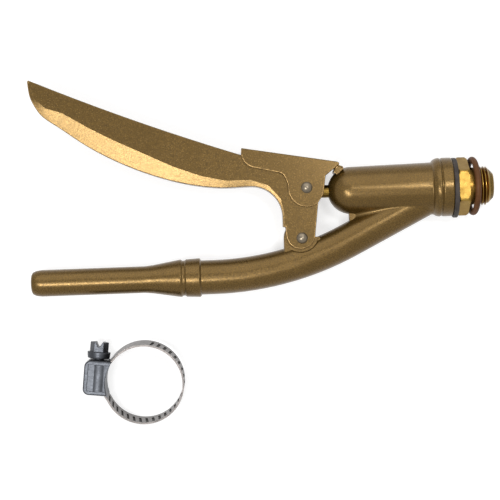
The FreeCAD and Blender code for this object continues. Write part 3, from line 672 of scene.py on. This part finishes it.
class NOZZLE_OT_band(bpy.types.Operator):
    """Bend the clamp's band from a strip with pressed, slanted slots"""
    bl_idname = "nozzle.band"
    bl_label = "Clamp Band"

    def execute(self, context):
        sizes = context.scene.clamp_sizes
        half = sizes.band_width / 2
        cell = 2 * math.pi / sizes.slots_round
        slot_start, slot_end = 0.3, 0.7         # shares of a cell round the band
        rows = (-half, -0.42 * half, 0.80 * half, half)
        slant = math.radians(2.2) / half

        # A flat strip, measured along X in radians, with a slot marked in each cell for the
        # painted slot shade.
        stops = [(i + part) * cell for i in range(sizes.slots_round)
                 for part in (0.0, slot_start, slot_end)]
        bm = bmesh.new()
        verts = [bm.verts.new((0, 0, z)) for z in rows]
        strip = [bm.edges.new(pair) for pair in zip(verts, verts[1:])]
        for along in stops[1:] + [sizes.slots_round * cell]:
            made = bmesh.ops.extrude_edge_only(bm, edges=strip)["geom"]
            strip = [g for g in made if isinstance(g, bmesh.types.BMEdge)]
            for vert in {v for e in strip for v in e.verts}:
                vert.co.x = along
        for face in bm.faces:
            middle = face.calc_center_median()
            within = (middle.x / cell) % 1.0
            angle = (middle.x + math.pi) % (2 * math.pi) - math.pi
            if (slot_start < within < slot_end and rows[1] < middle.z < rows[2]
                    and SLOTTED_FROM < angle < SLOTTED_TO):
                face.material_index = 1

        # The strip bent round, stepping out over the saddle.
        step_out = sizes.band_thickness * 0.86
        for vert in bm.verts:
            angle = vert.co.x + slant * vert.co.z
            off_housing = abs((angle % (2 * math.pi)) - math.pi)
            rise = min(1.0, max(0.0, (math.radians(30) - off_housing) / math.radians(10)))
            at = sizes.band_radius + step_out * rise
            vert.co.x = at * math.cos(angle)
            vert.co.y = at * math.sin(angle)
        close_up(bm, 1e-5)
        if bm.faces[0].normal.dot(bm.faces[0].calc_center_median()) > 0:
            bmesh.ops.reverse_faces(bm, faces=bm.faces)
        bmesh.ops.solidify(bm, geom=bm.faces, thickness=sizes.band_thickness)
        bmesh.ops.recalc_face_normals(bm, faces=bm.faces)
        # The pressed slots on both sides of the band are floored with the painted shade.
        slots = [f for f in bm.faces if f.material_index == 1 and abs(f.normal.z) < 0.5]
        bmesh.ops.inset_individual(bm, faces=slots, thickness=0.14 * MM,
                                   depth=-sizes.slot_depth, use_even_offset=True)
        bmesh.ops.transform(bm, matrix=BAND_PLACE, verts=bm.verts)
        finish_piece("clamp_band_finished", bm, ["band", "slot"], "clamp",
                     ["clamp_band"], 40)
        return {"FINISHED"}


class NOZZLE_OT_clamp_parts(bpy.types.Operator):
    """Round the edges of the clamp's housing and screw"""
    bl_idname = "nozzle.clamp_parts"
    bl_label = "Clamp Housing and Screw"

    def execute(self, context):
        for node, body, rounding in (("clamp_housing", "clamp", 0.12 * MM),
                                     ("clamp_screw", "clamp_screw", 0.18 * MM)):
            bm = node_copy(node)
            round_edges(bm, rounding)
            close_up(bm)
            finish_piece(node + "_finished", bm, ["zinc"], body, [node])
        return {"FINISHED"}


class NOZZLE_OT_spring(bpy.types.Operator):
    """Make the return spring, on a mesh of its own; the real spring shortens as the stem is
    pulled back
    """
    bl_idname = "nozzle.spring"
    bl_label = "Return Spring"

    def execute(self, context):
        bm = node_copy("return_spring")
        spring = finish_piece("return_spring_finished", bm, ["steel"], "nozzle",
                              ["return_spring"])
        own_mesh(spring)
        return {"FINISHED"}


class NOZZLE_OT_stage(bpy.types.Operator):
    """Make the floor, the lamps, the sky and the camera"""
    bl_idname = "nozzle.stage"
    bl_label = "Stage"

    def execute(self, context):
        scene = context.scene
        scene.view_settings.view_transform = "Standard"
        scene.world = white_sky()
        bm = bmesh.new()
        bmesh.ops.create_grid(bm, x_segments=8, y_segments=8, size=3.0)
        just_below = CAD_BOX[0][2] - 0.2 * MM
        bmesh.ops.translate(bm, verts=bm.verts, vec=(MIDDLE[0], MIDDLE[1], just_below))
        mesh = bpy.data.meshes.new("floor")
        bm.to_mesh(mesh)
        bm.free()
        mesh.materials.append(paper())
        floor = bpy.data.objects.new("floor", mesh)
        scene.collection.objects.link(floor)
        lamp("Key", (-0.34, -0.16, 0.70), MIDDLE, (0.22, 0.13), 2.0, -45)
        lamp("Key Low", (-0.19, -0.24, 0.70), MIDDLE, (0.18, 0.08), 1.1, -8)
        lamp("Over Outlet", (0.09, 0.105, 0.70), (-0.03, 0, 0), (0.12, 0.10), 1.45)
        lamp("Over Tail", (-0.13, -0.055, 0.70), (-0.12, -0.04, 0), (0.05, 0.04), 0.05)
        lamp("Soft Back", (-0.10, 0.72, 0.62), MIDDLE, (1.30, 0.90), 5.0)
        view = bpy.data.cameras.new("Camera")
        view.lens_unit = "FOV"
        view.angle = 2 * HALF_VIEW
        view.clip_start = 10 * MM
        camera = bpy.data.objects.new("Camera", view)
        camera.matrix_world = (Matrix.Translation(CAMERA_PLACE)
                               @ Matrix.Rotation(CAMERA_ROLL, 4, "Z"))
        scene.collection.objects.link(camera)
        scene.camera = camera
        return {"FINISHED"}


STEPS = (NOZZLE_OT_finishes, NOZZLE_OT_bronze, NOZZLE_OT_outlet, NOZZLE_OT_band,
         NOZZLE_OT_clamp_parts, NOZZLE_OT_spring, NOZZLE_OT_stage)


class NOZZLE_PT_panel(bpy.types.Panel):
    """Lists the pieces that can be made"""
    bl_idname = "NOZZLE_PT_panel"
    bl_label = "Hose Nozzle"
    bl_space_type = "VIEW_3D"
    bl_region_type = "UI"
    bl_category = "Nozzle"

    def draw(self, context):
        for step in STEPS:
            self.layout.operator(step.bl_idname)


CLASSES = (NozzleSizes, ClampSizes, FinishColours) + STEPS + (NOZZLE_PT_panel,)


def register():
    for cls in CLASSES:
        bpy.utils.register_class(cls)
    bpy.types.Scene.nozzle_sizes = bpy.props.PointerProperty(type=NozzleSizes)
    bpy.types.Scene.clamp_sizes = bpy.props.PointerProperty(type=ClampSizes)
    bpy.types.Scene.nozzle_colours = bpy.props.PointerProperty(type=FinishColours)


def unregister():
    del bpy.types.Scene.nozzle_colours
    del bpy.types.Scene.clamp_sizes
    del bpy.types.Scene.nozzle_sizes
    for cls in reversed(CLASSES):
        bpy.utils.unregister_class(cls)


def main():
    register()
    for step in STEPS:
        group, name = step.bl_idname.split(".")
        getattr(getattr(bpy.ops, group), name)()


if __name__ == "__main__":
    main()
